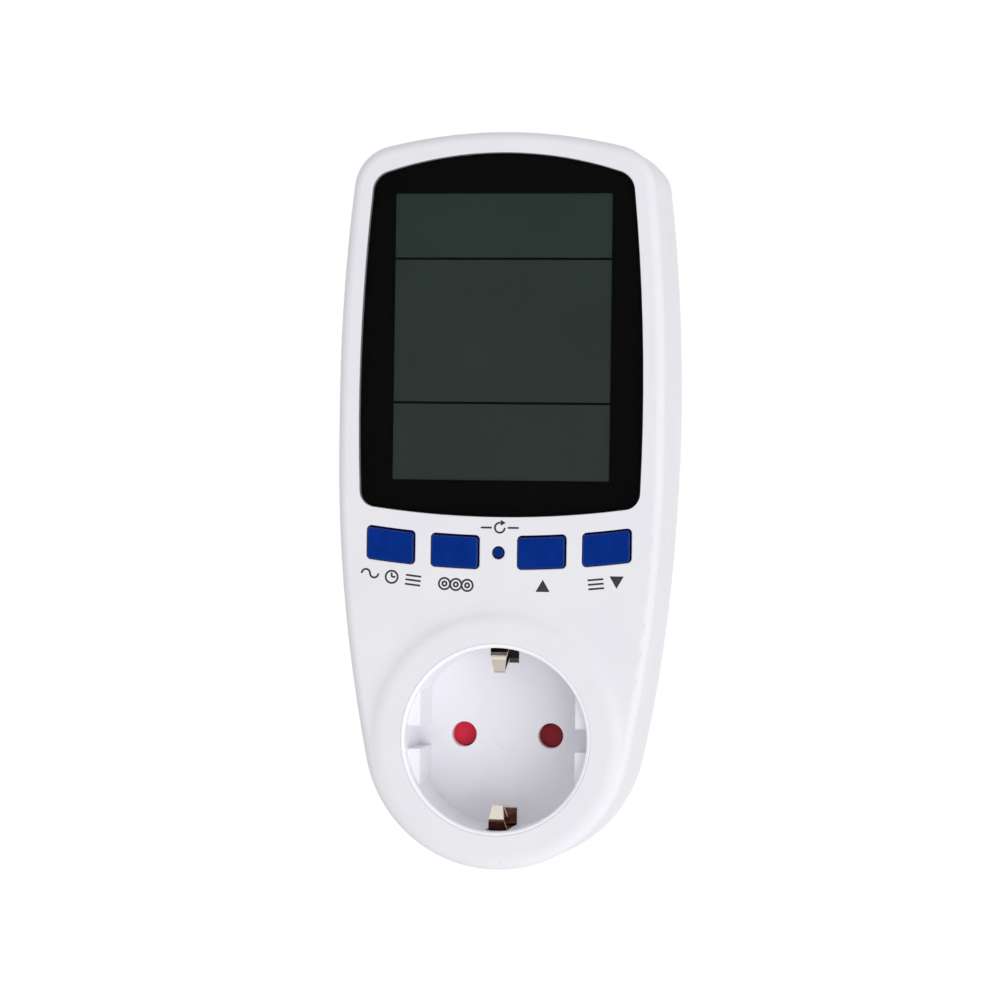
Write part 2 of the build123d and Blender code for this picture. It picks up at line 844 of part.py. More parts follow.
with BuildPart() as socket_cup:
    with BuildSketch(level_plane(floor_back_level)):
        Circle(cup_radius)
    extrude(amount=cup_shoulder_level - floor_back_level)
    with BuildSketch(level_plane(cup_shoulder_level)):
        Circle(cup_flange_radius)
    extrude(amount=-cup_flange_thickness)
    with BuildSketch(level_plane(cup_shoulder_level)):
        Circle(cup_lip_radius)
    extrude(amount=cup_rim_level - cup_shoulder_level)
    with BuildSketch(level_plane(floor_level)):
        Circle(recess_radius)
    extrude(amount=recess_depth, mode=Mode.SUBTRACT)
    fillet(socket_cup.faces().sort_by(Axis.Y)[0].inner_wires()[0].edges(), radius=cup_lip_edge)
    with BuildSketch(level_plane(floor_level)):
        Circle(recess_radius + cup_wall / 2)
        Rectangle(2 * block_face, 2 * recess_radius + cup_wall, mode=Mode.SUBTRACT)
        Rectangle(2 * cup_radius, block_gap, mode=Mode.SUBTRACT)
    extrude(amount=block_height)
    with BuildSketch(level_plane(floor_back_level)):
        with Locations(*pin_places):
            Circle(pin_hole_radius)
    extrude(amount=floor_thickness, mode=Mode.SUBTRACT)
    with BuildSketch(level_plane(floor_level)):
        Circle(center_disc_radius)
    extrude(amount=-center_disc_depth, mode=Mode.SUBTRACT)
    slot_middle = (clip_slot_inner + clip_slot_outer) / 2
    with BuildSketch(level_plane(floor_back_level)):
        with Locations((0, slot_middle), (0, -slot_middle)):
            Rectangle(clip_slot_width, clip_slot_outer - clip_slot_inner)
    extrude(amount=clip_slot_top - floor_back_level, mode=Mode.SUBTRACT)
    with BuildSketch(level_plane(floor_back_level)):
        Circle(shutter_post_radius)
    extrude(amount=carrier_top_level - floor_back_level)
    with BuildSketch(level_plane(floor_back_level)):
        with Locations(*carrier_screw_places):
            Circle(carrier_boss_radius)
    extrude(amount=carrier_top_level - floor_back_level)
    with BuildSketch(level_plane(carrier_top_level)):
        with Locations(*carrier_screw_places):
            Circle(small_screw_radius + fit_clearance)
    extrude(amount=small_screw_length - carrier_thickness + loose_clearance, mode=Mode.SUBTRACT)
    hole_edges = socket_cup.edges().filter_by(GeomType.CIRCLE).filter_by(
        lambda edge: abs(edge.radius - pin_hole_radius) < fit_clearance
        and abs(edge.center().Y + floor_level) < fit_clearance
    )
    fillet(hole_edges, radius=pin_hole_edge)


# Safety shutter and its spring

def draw_leg(length, angle):
    """A straight leg of the shutter's spring, from the axis outwards."""
    with Locations(polar(length / 2, angle)):
        Rectangle(length, spring_leg_width, rotation=angle)


with BuildPart() as shutter:
    with BuildSketch(level_plane(shutter_level)):
        reach = shutter_radius + overrun
        spread = reach * tan(radians(shutter_half_angle))
        Polygon((0, 0), (reach, -spread), (reach, spread), align=None)
        Polygon((0, 0), (-reach, spread), (-reach, -spread), align=None)
        Circle(shutter_radius, mode=Mode.INTERSECT)
        Circle(shutter_hub_radius)
        Circle(shutter_post_radius + fit_clearance, mode=Mode.SUBTRACT)
    extrude(amount=shutter_thickness)
    front_lines = shutter.faces().sort_by(Axis.Y)[0].edges().filter_by(GeomType.LINE)
    ramps = front_lines.filter_by(lambda edge: edge.center().X * edge.center().Z > 0)
    chamfer(ramps, length=shutter_ramp)
    with BuildSketch(level_plane(shutter_level)):
        with Locations(polar(spring_peg_circle_radius, shutter_peg_angle)):
            Circle(spring_peg_radius)
    extrude(amount=clearance - spring_height)

spring_level = carrier_top_level + (carrier_space - spring_height) / 2
with BuildPart() as shutter_spring:
    with BuildSketch(level_plane(spring_level)):
        Circle(spring_outer_radius)
        draw_leg(spring_leg_length, spring_leg_angle)
        draw_leg(spring_leg_length, anchor_leg_angle)
        Circle(spring_inner_radius, mode=Mode.SUBTRACT)
    extrude(amount=spring_height)


# Contact carrier and contacts

with BuildPart() as contact_carrier:
    with BuildSketch(level_plane(carrier_level)):
        Circle(carrier_radius)
    extrude(amount=carrier_thickness)
    with BuildSketch(level_plane(carrier_level)):
        with Locations(*pin_places):
            Rectangle(2 * (well_half_width + well_wall), 2 * (well_half_height + well_wall))
    extrude(amount=-well_depth)
    with BuildSketch(level_plane(carrier_level)):
        with Locations(*pin_places):
            Rectangle(2 * well_half_width, 2 * well_half_height)
    extrude(amount=-well_depth, mode=Mode.SUBTRACT)
    with BuildSketch(level_plane(carrier_level)):
        with Locations(*pin_places):
            Circle(pin_hole_radius)
        with Locations(*carrier_screw_places):
            Circle(small_screw_radius + clearance)
    extrude(amount=carrier_thickness, mode=Mode.SUBTRACT)
    with BuildSketch(level_plane(carrier_top_level)):
        with Locations(polar(spring_peg_circle_radius, carrier_peg_angle)):
            Circle(spring_peg_radius)
    extrude(amount=spring_height)


def contact_points(center):
    """The folded path of one spring contact, seen from above."""
    leaf = contact_half_gap + contact_thickness / 2
    flare = leaf + contact_flare
    flare_level = contact_top_level - contact_flare_height
    base = contact_base_level + contact_thickness / 2
    half = [(-flare, contact_top_level), (-leaf, flare_level), (-leaf, base)]
    other = [(-x, level) for x, level in reversed(half)]
    return [(center + x, 0, level) for x, level in half + other]


upright = (0, 0, 1)
contact_strip = strip_section(contact_width, contact_thickness, upright)

with BuildPart() as live_contact:
    sweep_section(contact_strip, contact_points(-pin_x), contact_bend)

with BuildPart() as neutral_contact:
    sweep_section(contact_strip, contact_points(pin_x), contact_bend)


# Earth strap: one strip that ends in the two clips of the socket

with BuildPart() as earth_strap:
    clip = [
        (clip_tip_z, collar_level - clip_tip_depth),
        (clip_nose_z, collar_level - clip_nose_depth),
        (clip_top_z, collar_level - clip_top_depth),
        (earth_arm_z, collar_level - clip_shoulder_depth),
        (earth_arm_z, earth_base_level + earth_thickness / 2),
    ]
    other_clip = [(-z, level) for z, level in reversed(clip)]
    strap_points = [(0, z, level) for z, level in clip + other_clip]
    sweep_section(strip_section(earth_width, earth_thickness, (1, 0, 0)), strap_points, clip_bend)
    neck_z = earth_arm_z - earth_thickness
    with BuildSketch(level_plane(collar_level)):
        for x, z in ((1, 1), (-1, 1), (-1, -1), (1, -1)):
            taper = [(clip_nose_width / 2, clip_nose_z), (earth_width / 2, neck_z), (earth_width, neck_z)]
            taper += [(earth_width, 0), (clip_nose_width / 2, 0)]
            Polygon(*[(x * across, z * along) for across, along in taper], align=None)
    extrude(amount=-clip_tip_depth - clip_neck_drop, mode=Mode.SUBTRACT)

earth_rivet_bottom = plug_strap_level + plug_strap_thickness
with BuildPart() as earth_rivet:
    with BuildSketch(level_plane(earth_rivet_bottom)):
        Circle(earth_rivet_radius)
    extrude(amount=earth_base_level - earth_rivet_bottom)


# Plug body

def draw_plug(flat, radius, rib):
    """The plug's outline: a circle with two flat sides, and a rib on each flat if asked."""
    Circle(radius)
    Rectangle(2 * flat, 2 * radius, mode=Mode.INTERSECT)
    if rib:
        Rectangle(2 * plug_rib_face, plug_rib_width)


plug_cavity_radius = plug_radius - plug_wall
plug_cavity_flat = plug_flat - plug_wall
groove_floor = plug_radius - plug_groove_depth
plug_cavity_top = groove_floor - plug_wall
strap_z = groove_floor + plug_strap_thickness / 2 + fit_clearance
sleeve_radius = pin_radius + fit_clearance

with BuildPart() as plug_body:
    with BuildSketch(level_plane(0)):
        draw_plug(plug_flat, plug_radius, True)
    extrude(amount=plug_depth - plug_collar)
    chamfer(plug_body.faces().sort_by(Axis.Y)[-1].edges(), length=plug_edge)
    with BuildSketch(level_plane(plug_depth - plug_collar)):
        Circle(plug_radius)
    extrude(amount=back_inner_level - plug_depth + plug_collar)
    with BuildSketch(level_plane(back_inner_level)):
        Circle(plug_flange_radius)
    extrude(amount=plug_flange_thickness)
    with BuildSketch(level_plane(plug_end_wall)):
        draw_plug(plug_cavity_flat, plug_cavity_radius, False)
        Rectangle(2 * plug_cavity_flat, 2 * plug_cavity_top, mode=Mode.INTERSECT)
    extrude(amount=plug_flange_top - plug_end_wall, mode=Mode.SUBTRACT)
    with BuildSketch(level_plane(0)):
        groove_middle = groove_floor + plug_groove_depth
        with Locations((0, groove_middle), (0, -groove_middle)):
            Rectangle(plug_groove_width, 2 * plug_groove_depth)
    extrude(amount=plug_flange_top, mode=Mode.SUBTRACT)
    with BuildSketch(level_plane(0)):
        with Locations(*pin_places):
            Circle(pin_neck_radius + fit_clearance)
        with Locations((0, sleeve_offset)):
            Circle(sleeve_hole_radius)
    extrude(amount=plug_end_wall, mode=Mode.SUBTRACT)
    with BuildSketch(level_plane(0)):
        with Locations(*pin_places):
            Circle(pin_radius + clearance)
    extrude(amount=pin_relief_depth, mode=Mode.SUBTRACT)
    with BuildSketch(level_plane(back_inner_level)):
        with Locations(*plug_screw_places):
            Circle(small_screw_radius + clearance)
    extrude(amount=plug_flange_thickness, mode=Mode.SUBTRACT)


# Plug pins, busbars and shunt

def make_pin(x):
    """A solid pin with a round end, a neck through the end wall, a head inside and a rivet stub."""
    with BuildPart() as pin:
        with BuildSketch(level_plane(-pin_length, x)):
            Circle(pin_radius)
        extrude(amount=pin_length)
        fillet(pin.faces().sort_by(Axis.Y)[-1].edges(), radius=pin_end_radius)
        with BuildSketch(level_plane(0, x)):
            Circle(pin_neck_radius)
        extrude(amount=plug_end_wall)
        with BuildSketch(level_plane(plug_end_wall, x)):
            Circle(pin_head_radius)
        extrude(amount=pin_head_height)
        with BuildSketch(level_plane(plug_end_wall + pin_head_height, x)):
            Circle(pin_rivet_radius)
        extrude(amount=pin_rivet_height)
    return pin.part


busbar_foot_level = plug_end_wall + pin_head_height
foot_middle = busbar_foot_level + busbar_thickness / 2
busbar_top_middle = busbar_top_level - busbar_thickness / 2
foot_end = pin_x - busbar_overhang
busbar_strip = strip_section(busbar_width, busbar_thickness, upright)
riser_face = busbar_riser_x - busbar_thickness / 2
shunt_bottom = foot_middle + 2 * busbar_bend


def cut_rivet_hole(x):
    """Cuts the hole for a pin's rivet stub in a busbar's foot."""
    with BuildSketch(level_plane(busbar_foot_level, x)) as hole:
        Circle(pin_rivet_radius + fit_clearance)
    extrude(hole.sketch, amount=busbar_thickness, mode=Mode.SUBTRACT)


with BuildPart() as neutral_busbar:
    neutral_points = [
        (foot_end, 0, foot_middle),
        (busbar_riser_x, 0, foot_middle),
        (busbar_riser_x, 0, busbar_top_middle),
        (foot_end, 0, busbar_top_middle),
    ]
    sweep_section(busbar_strip, neutral_points, busbar_bend)
    cut_rivet_hole(pin_x)

shunt_top = busbar_top_middle - 2 * busbar_bend
with BuildPart() as live_busbar:
    lower_points = [
        (-foot_end, 0, foot_middle),
        (-busbar_riser_x, 0, foot_middle),
        (-busbar_riser_x, 0, shunt_bottom + shunt_overlap),
    ]
    sweep_section(busbar_strip, lower_points, busbar_bend)
    upper_points = [
        (-busbar_riser_x, 0, shunt_top - shunt_overlap),
        (-busbar_riser_x, 0, busbar_top_middle),
        (-foot_end, 0, busbar_top_middle),
    ]
    sweep_section(busbar_strip, upper_points, busbar_bend)
    cut_rivet_hole(-pin_x)

with BuildPart() as shunt_resistor:
    with BuildSketch(level_plane(shunt_bottom, x=busbar_thickness / 2 - riser_face)):
        Rectangle(busbar_thickness, shunt_width)
    extrude(amount=shunt_top - shunt_bottom)


# Earth contacts of the plug and the sleeve for a wall socket's earth pin

with BuildPart() as plug_earth_strap:
    strap_base = plug_strap_level + plug_strap_thickness / 2
    half_strap = [(strap_z, plug_strap_start), (strap_z, strap_base)]
    other_strap = [(-z, level) for z, level in reversed(half_strap)]
    plug_strap_points = [(0, z, level) for z, level in half_strap + other_strap]
    plug_strip = strip_section(plug_strap_width, plug_strap_thickness, (1, 0, 0))
    sweep_section(plug_strip, plug_strap_points, earth_bend)

with BuildPart() as earth_pin_sleeve:
    with BuildSketch(level_plane(plug_end_wall, z=sleeve_offset)):
        Circle(sleeve_radius + sleeve_wall)
        Circle(sleeve_radius, mode=Mode.SUBTRACT)
    extrude(amount=plug_strap_level - plug_end_wall)


# Leads from the plug side to the main board

def lead_points(x):
    """The path of a lead from a busbar up and over to the main board."""
    start = busbar_width / 2
    run_level = busbar_top_middle + lead_rise
    end_z = main_board_bottom + lead_end
    return [
        (x, start, busbar_top_middle),
        (x, lead_turn_z, busbar_top_middle),
        (x, lead_turn_z, run_level),
        (x, end_z, run_level),
        (x, end_z, main_board_front),
    ]


with BuildPart() as live_lead:
    sweep_section(wire_section(lead_radius), lead_points(-lead_x), lead_bend)

with BuildPart() as neutral_lead:
    sweep_section(wire_section(lead_radius), lead_points(lead_x), lead_bend)


pieces = {
    "front_shell": front_shell,
    "back_shell": back_shell,
    "display_window": display_window,
    "lcd_panel": lcd_panel,
    "lcd_holder": lcd_holder,
    "zebra_strips": zebra_strips,
    "display_board": display_board,
    "display_chip": display_chip,
    "clock_crystal": clock_crystal,
    "key_switches": key_switches,
    "main_board": main_board,
    "backup_battery": backup_battery,
    "dropper_capacitor": dropper_capacitor,
    "smoothing_capacitor": smoothing_capacitor,
    "varistor": varistor,
    "rectifier_diodes": rectifier_diodes,
    "meter_chip": meter_chip,
    "ribbon_cable": ribbon_cable,
    "case_screws": case_screws,
    "display_screws": display_screws,
    "board_screws": board_screws,
    "carrier_screws": carrier_screws,
    "plug_screws": plug_screws,
    "socket_cup": socket_cup,
    "shutter": shutter,
    "shutter_spring": shutter_spring,
    "contact_carrier": contact_carrier,
    "live_contact": live_contact,
    "neutral_contact": neutral_contact,
    "earth_strap": earth_strap,
    "earth_rivet": earth_rivet,
    "plug_body": plug_body,
    "live_busbar": live_busbar,
    "neutral_busbar": neutral_busbar,
    "shunt_resistor": shunt_resistor,
    "plug_earth_strap": plug_earth_strap,
    "earth_pin_sleeve": earth_pin_sleeve,
    "live_lead": live_lead,
    "neutral_lead": neutral_lead,
}
for name, piece in pieces.items():
    piece.part.label = name
    export_step(piece.part, "parts/" + name + ".step")

for name, x in (("plug_pin_left", -pin_x), ("plug_pin_right", pin_x)):
    pin_part = make_pin(x)
    pin_part.label = name
    export_step(pin_part, "parts/" + name + ".step")
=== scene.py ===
from math import pi, radians

import bpy
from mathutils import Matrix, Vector


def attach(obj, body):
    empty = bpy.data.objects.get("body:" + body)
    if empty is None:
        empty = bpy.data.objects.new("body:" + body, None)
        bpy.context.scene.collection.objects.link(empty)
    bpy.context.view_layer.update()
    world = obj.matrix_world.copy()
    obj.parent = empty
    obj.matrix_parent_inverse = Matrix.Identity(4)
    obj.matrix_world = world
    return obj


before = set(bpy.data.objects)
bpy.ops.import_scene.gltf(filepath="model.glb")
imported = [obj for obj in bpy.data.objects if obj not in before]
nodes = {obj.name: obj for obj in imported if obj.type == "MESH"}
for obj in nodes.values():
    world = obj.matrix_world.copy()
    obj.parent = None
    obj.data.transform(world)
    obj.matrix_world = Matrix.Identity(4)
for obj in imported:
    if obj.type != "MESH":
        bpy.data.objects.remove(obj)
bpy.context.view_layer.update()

# Sizes in millimetres, in the part's frame: X right, Z up, the front faces -Y.
# FRONT_Y is the panel that carries the key marks.
MM = 0.001
FRONT_Y = -54.7

# The display's opening in the window print, and the two lines printed on the display
DISPLAY_HALF_WIDTH = 23.3
DISPLAY_FOOT = 55.05
DISPLAY_TOP = 116.15
DISPLAY_LINES = (102.25, 71.5)
DISPLAY_LINE_WIDTH = 0.5

# The window print lies this far inside the back of the lens, and is this thick
WINDOW_PRINT_DEPTH = 0.01
WINDOW_PRINT_THICKNESS = 0.03

# The earth clips are plated this far above and below a middle height, in front of a place
CLIP_PLATED_HALF = 17.8
CLIP_PLATED_MIDDLE = 0.7
CLIP_PLATED_BACK_Y = -45.3

# Key marks: a stroke's width, the thickness of the ink, how far the ends of bars and the corners
# of arrows are rounded, and the length and spacing of the bars of a list
INK_STROKE = 0.42
INK_THICKNESS = 0.02
BAR_END_ROUNDING = 0.15
ARROW_CORNER_ROUNDING = 0.12
LIST_BAR_LENGTH = 3.4
LIST_BAR_SPACING = 0.95

# The blank film in the recess on the back, and the frame line printed on it
FILM_FLOOR_Y = -17.9
FILM_MIDDLE = 78.0
FILM_WIDTH = 38.6
FILM_HEIGHT = 50.6
FILM_THICKNESS = 0.15
FILM_CORNER = 1.6
FILM_LINE_MARGIN = 1.3
FILM_LINE_WIDTH = 0.4

# Camera, lamp and floor: places and sizes in metres, turns in degrees, power in watts
CAMERA_PLACE = (0.109357, -0.753766, 0.046948)
CAMERA_TURN = (90.319, -0.8, 8.8655)
CAMERA_LENS = 120
CAMERA_SENSOR = 36
LAMP_PLACE = (1.0, -1.2, -0.7)
LAMP_AIM = (0, -0.03, 0.05)
LAMP_SIZE = 1.5
LAMP_POWER = 17.5
FLOOR_HEIGHT = -2
FLOOR_SIZE = 8

# How white the surroundings are as light, and how strongly the floor glows to the camera
SURROUNDINGS_AS_LIGHT = 0.76
FLOOR_GLOW = 0.9

# Sockets of a Mix node that mixes colours
FACTOR, FIRST, SECOND, MIXED = 0, 6, 7, 2

# A wave texture at scale 1 repeats after this length
WAVE_LENGTH = 0.314


def linear(code):
    """An sRGB hex colour as linear red, green, blue and alpha."""
    channels = [int(code[place:place + 2], 16) / 255 for place in (0, 2, 4)]
    return [c / 12.92 if c <= 0.04045 else ((c + 0.055) / 1.055) ** 2.4 for c in channels] + [1]


def add(owner, kind, inputs=(), **settings):
    """Adds a shader node to a material or the world. An input takes a value or another's output."""
    made = owner.node_tree.nodes.new("ShaderNode" + kind)
    for name, value in settings.items():
        setattr(made, name, value)
    for name, value in dict(inputs).items():
        if isinstance(value, bpy.types.NodeSocket):
            owner.node_tree.links.new(value, made.inputs[name])
        else:
            made.inputs[name].default_value = value
    return made


def shader_socket(material, name):
    """A socket of the material's Principled shader."""
    return material.node_tree.nodes["Principled BSDF"].inputs[name]


def drive(material, name, output):
    """Lets a node's output drive a socket of the material's shader."""
    material.node_tree.links.new(output, shader_socket(material, name))


def new_material(name, **values):
    """A material with these values on its shader's own sockets."""
    material = bpy.data.materials.new(name)
    material.use_nodes = True
    for socket, value in values.items():
        shader_socket(material, socket.replace("_", " ")).default_value = value
    return material


def blotches(material, size, low, high):
    """A soft noise between two values, with spots of a size in millimetres."""
    place = add(material, "TexCoord").outputs["Object"]
    noise = add(material, "TexNoise", {"Vector": place, "Scale": 1 / (size * MM)})
    # Nearly all of the noise lies between 0.3 and 0.7
    ranged = add(material, "MapRange", {"Value": noise.outputs["Fac"], "From Min": 0.3, "From Max": 0.7,
                                        "To Min": low, "To Max": high})
    return ranged.outputs["Result"]


def grain(material, size, depth):
    """Fine moulded grain: bumps of a size and a depth in millimetres."""
    place = add(material, "TexCoord").outputs["Object"]
    noise = add(material, "TexNoise", {"Vector": place, "Scale": 1 / (size * MM), "Detail": 3.0})
    bump = add(material, "Bump", {"Height": noise.outputs["Fac"], "Distance": depth * MM})
    drive(material, "Normal", bump.outputs["Normal"])


def two_tone(material, first, second, factor):
    """Mixes two colours into the base colour."""
    mix = add(material, "Mix", {FACTOR: factor, FIRST: linear(first), SECOND: linear(second)},
              data_type="RGBA")
    drive(material, "Base Color", mix.outputs[MIXED])


def vary_roughness(material, size, low, high):
    """Lets the roughness wander between two values, in spots of a size in millimetres."""
    drive(material, "Roughness", blotches(material, size, low, high))


def edge_sheen(material, flat, edge):
    """Gives the flat front one specular level, and the rounded edges round it another."""
    parts = add(material, "SeparateXYZ", {"Vector": add(material, "TexCoord").outputs["Normal"]})
    facing = add(material, "Math", {0: parts.outputs["Y"]}, operation="ABSOLUTE")
    ranged = add(material, "MapRange", {"Value": facing.outputs[0], "From Min": 0.95, "From Max": 0.6,
                                        "To Min": flat, "To Max": edge})
    drive(material, "Specular IOR Level", ranged.outputs["Result"])


def within(material, axis, middle, half):
    """1 where a point is at most half away from a middle along an axis, both in millimetres."""
    parts = add(material, "SeparateXYZ", {"Vector": add(material, "TexCoord").outputs["Object"]})
    near = add(material, "Math", {0: parts.outputs[axis], 1: middle * MM, 2: half * MM},
               operation="COMPARE")
    return near.outputs[0]


def moulded(name, main, other, rough, grain_size, grain_depth, tone_size=14.0, **values):
    """A moulded plastic: two close tones, a satin that wanders and the grain of its mould."""
    material = new_material(name, **values)
    two_tone(material, main, other, blotches(material, tone_size, low=0.0, high=1.0))
    vary_roughness(material, tone_size / 3, low=rough - 0.03, high=rough + 0.04)
    grain(material, grain_size, grain_depth)
    return material


def drawn_metal(name, main, other, rough, streaks, depth):
    """A metal with the fine lines of rolling or drawing. The streaks are their sizes in X, Y and Z."""
    material = new_material(name, Metallic=1.0)
    place = add(material, "Mapping", {"Vector": add(material, "TexCoord").outputs["Object"],
                                      "Scale": [1 / (size * MM) for size in streaks]})
    noise = add(material, "TexNoise", {"Vector": place.outputs["Vector"], "Scale": 1.0})
    two_tone(material, main, other, noise.outputs["Fac"])
    ranged = add(material, "MapRange", {"Value": noise.outputs["Fac"],
                                        "To Min": rough * 0.8, "To Max": rough * 1.3})
    drive(material, "Roughness", ranged.outputs["Result"])
    bump = add(material, "Bump", {"Height": noise.outputs["Fac"], "Distance": depth * MM})
    drive(material, "Normal", bump.outputs["Normal"])
    return material


# White ABS, moulded in a spark-eroded tool: a soft satin with a grain that only just shows.
# The real grain is about 0.15 mm; it is drawn at 0.3 mm so that it shows.
abs_white_satin = moulded("abs_white_satin", "E0DFE4", "DDDCE2", rough=0.5,
                          grain_size=0.3, grain_depth=0.008, Specular_IOR_Level=0.4)

# White polycarbonate, moulded in a smoother tool: a little shinier and paler than the housing.
polycarbonate_white = moulded("polycarbonate_white", "EDECF1", "EAE9EF", rough=0.38,
                              grain_size=0.5, grain_depth=0.003, Specular_IOR_Level=0.35)

# Natural acetal of the display holder and the contact carrier: waxy white.
acetal_natural = moulded("acetal_natural", "E3E1DA", "DCDAD2", rough=0.38,
                         grain_size=0.4, grain_depth=0.006)

# Black phenolic of the switches, their plungers and the chips: dull, with a dusty grain.
phenolic_black = moulded("phenolic_black", "1B1B1C", "232324", rough=0.5,
                         grain_size=0.25, grain_depth=0.01, tone_size=2.0)

# Flame-proof epoxy of the dropper capacitor's box: warm yellow, smooth.
epoxy_yellow = moulded("epoxy_yellow", "D9A62E", "CF9B26", rough=0.36,
                       grain_size=0.6, grain_depth=0.006)

# Dipped epoxy of the varistor: blue, lumpy and shiny from the dip.
epoxy_blue_dip = moulded("epoxy_blue_dip", "2D63A8", "27599B", rough=0.28,
                         grain_size=1.6, grain_depth=0.06, tone_size=3.0)

# Shrink sleeve of the backup battery: green, with the slight waves of the shrinking.
shrink_sleeve_green = moulded("shrink_sleeve_green", "2E8A4B", "2A7F45", rough=0.3,
                              grain_size=2.0, grain_depth=0.03, tone_size=5.0)

# Insulated leads: extruded PVC with a low sheen.
pvc_red = moulded("pvc_red", "B3261E", "A8211A", rough=0.4,
                  grain_size=0.8, grain_depth=0.01, tone_size=3.0)
pvc_blue = moulded("pvc_blue", "2457A6", "204F9A", rough=0.4,
                   grain_size=0.8, grain_depth=0.01, tone_size=3.0)

# Nickel plate on brass strip: bright and warm, with faint lines along the strip.
nickel_plate = drawn_metal("nickel_plate", "E2DCD2", "CFC8BC", rough=0.16,
                           streaks=(0.25, 4.0, 4.0), depth=0.002)

# Rolled brass of the contacts and busbars: yellow, with fine level lines.
brass_rolled = drawn_metal("brass_rolled", "D4B066", "BF9A52", rough=0.3,
                           streaks=(3.0, 3.0, 0.2), depth=0.004)

# Zinc plated steel of the screws and the spring: bluish grey and slightly cloudy.
steel_zinc = drawn_metal("steel_zinc", "C2C6CA", "A4A9AF", rough=0.32,
                         streaks=(0.8, 0.8, 0.8), depth=0.006)

# Resistance alloy strip of the shunt: dull copper brown.
resistance_alloy = drawn_metal("resistance_alloy", "9C7B66", "8A6B58", rough=0.38,
                               streaks=(0.3, 3.0, 0.3), depth=0.004)


def key_plastic():
    """Blue ABS of the key caps: strong even colour, a low satin and edges that catch the light."""
    material = moulded("abs_blue_key", "022778", "042C80", rough=0.34,
                       grain_size=0.3, grain_depth=0.006, tone_size=3.0)
    edge_sheen(material, flat=0.03, edge=0.6)
    return material


def shutter_plastic():
    """Red polyamide of the shutter, with a low gloss. Its right arm is darker than its left one: painted
    shade, the shadow that falls in the right pin hole.
    """
    material = moulded("polyamide_red", "DC2A45", "CC2340", rough=0.3,
                       grain_size=0.6, grain_depth=0.004, tone_size=4.0, Specular_IOR_Level=0.15)
    left_red = shader_socket(material, "Base Color").links[0].from_socket
    parts = add(material, "SeparateXYZ", {"Vector": add(material, "TexCoord").outputs["Object"]})
    painted_shade_to_right = add(material, "MapRange", {"Value": parts.outputs["X"], "From Min": 0.0, "From Max": 8.0 * MM})
    # Painted shade: from the middle towards the right arm the red darkens to 8F182A
    mix = add(material, "Mix", {FACTOR: painted_shade_to_right.outputs["Result"], FIRST: left_red,
                                SECOND: linear("8F182A")}, data_type="RGBA")
    drive(material, "Base Color", mix.outputs[MIXED])
    return material


def earth_clip_metal():
    """Spring bronze strip: bright plated noses on its clips; brown bronze at the foot, darkened by painted
    shade, and painted shade that turns it nearly black above.
    """
    material = new_material("bronze_plated_noses", Metallic=1.0)
    parts = add(material, "SeparateXYZ", {"Vector": add(material, "TexCoord").outputs["Object"]})
    # Painted shade: the bronze 6E4738 is darkened brown, and turns nearly black (2A2220) on the upper clip,
    # the shadow in its slot
    upper = add(material, "MapRange", {"Value": parts.outputs["Z"],
                                       "From Min": -5.0 * MM, "From Max": 5.0 * MM})
    dark = add(material, "Mix", {FACTOR: upper.outputs["Result"], FIRST: linear("6E4738"),
                                 SECOND: linear("2A2220")}, data_type="RGBA")
    front = add(material, "Math", {0: parts.outputs["Y"], 1: CLIP_PLATED_BACK_Y * MM},
                operation="LESS_THAN")
    nose = add(material, "Math", {0: within(material, "Z", CLIP_PLATED_MIDDLE, CLIP_PLATED_HALF),
                                  1: front.outputs[0]}, operation="MULTIPLY")
    mix = add(material, "Mix", {FACTOR: nose.outputs[0], FIRST: dark.outputs[MIXED],
                                SECOND: linear("DED7CC")}, data_type="RGBA")
    drive(material, "Base Color", mix.outputs[MIXED])
    vary_roughness(material, size=1.2, low=0.12, high=0.26)
    grain(material, size=0.8, depth=0.01)
    return material


def window_acrylic():
    """Smoke tinted acrylic lens: nearly black, see-through, polished, with an anti-glare coat."""
    material = new_material("acrylic_smoke", Alpha=0.34, IOR=1.49)
    edge_sheen(material, flat=0.04, edge=0.9)
    two_tone(material, "050505", "080808", blotches(material, size=20.0, low=0.0, high=1.0))
    vary_roughness(material, size=9.0, low=0.05, high=0.11)
    return material


def screen_ink(name, main, other):
    """Screen printed ink: flat, dull and opaque, with the slight mottle of the mesh."""
    material = new_material(name, Specular_IOR_Level=0.04)
    two_tone(material, main, other, blotches(material, size=0.6, low=0.0, high=1.0))
    vary_roughness(material, size=1.0, low=0.55, high=0.7)
    grain(material, size=0.25, depth=0.004)
    return material


def liquid_crystal_glass():
    """Unpowered liquid crystal display: grey-green, with slow tones and two black printed lines."""
    material = new_material("liquid_crystal_glass", Roughness=0.25, Specular_IOR_Level=0.08)
    parts = add(material, "SeparateXYZ", {"Vector": add(material, "TexCoord").outputs["Object"]})
    height = add(material, "MapRange", {"Value": parts.outputs["Z"],
                                        "From Min": DISPLAY_FOOT * MM, "From Max": DISPLAY_TOP * MM})
    tone = add(material, "Mix", {FACTOR: height.outputs["Result"], FIRST: linear("64706A"),
                                 SECOND: linear("586D69")}, data_type="RGBA")
    cloud = add(material, "Mix", {FACTOR: blotches(material, size=25.0, low=0.0, high=0.35),
                                  FIRST: tone.outputs[MIXED], SECOND: linear("667A70")}, data_type="RGBA")
    upper, lower = [within(material, "Z", line, DISPLAY_LINE_WIDTH / 2) for line in DISPLAY_LINES]
    either = add(material, "Math", {0: upper, 1: lower}, operation="MAXIMUM")
    mix = add(material, "Mix", {FACTOR: either.outputs[0], FIRST: cloud.outputs[MIXED],
                                SECOND: linear("050606")}, data_type="RGBA")
    drive(material, "Base Color", mix.outputs[MIXED])
    return material


